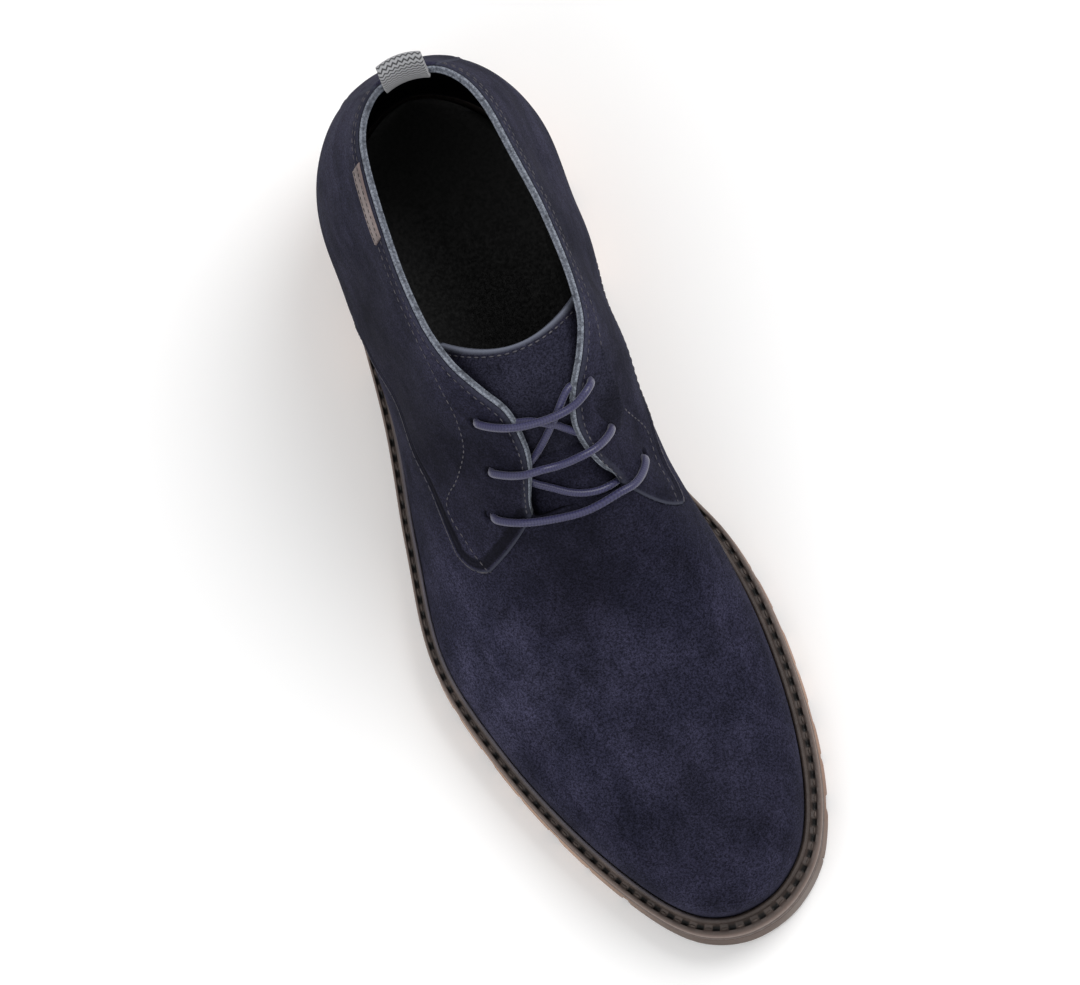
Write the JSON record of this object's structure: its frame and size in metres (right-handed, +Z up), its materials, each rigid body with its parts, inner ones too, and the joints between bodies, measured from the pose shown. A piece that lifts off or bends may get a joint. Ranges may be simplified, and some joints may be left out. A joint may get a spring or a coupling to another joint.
{
  "type": "chukka boot",
  "caption": "Right-foot chukka boot in dark navy suede with a stitched taupe welt, round laces, pull loop and a lugged gum rubber sole.",
  "frame": {"origin": "on the floor, under the middle of the shoe's box", "axes": "-Y towards the toe, +X to the medial side, +Z up"},
  "size_m": [0.1122, 0.3055, 0.1656],
  "materials": {
    "gum_rubber": "satin gum rubber, slightly translucent",
    "midsole_edge": "matte edge of a thin midsole",
    "welt_leather": "waxed welt, taupe edge and darker stitched top",
    "footbed": "matte black",
    "navy_suede": "brushed suede nap",
    "tag_leather": "matte grey-brown",
    "webbing": "woven webbing",
    "lace_cord": "round braided cord"
  },
  "bodies": {
    "root": {"outsole": "gum_rubber", "midsole": "midsole_edge", "welt": "welt_leather", "insole": "footbed", "upper": "navy_suede", "tongue": "navy_suede", "back_strip": "navy_suede", "collar_tag": "tag_leather", "pull_loop": "webbing", "lace_bar_1": "lace_cord", "lace_bar_2": "lace_cord", "lace_bar_3": "lace_cord"}
  },
  "joints": []
}
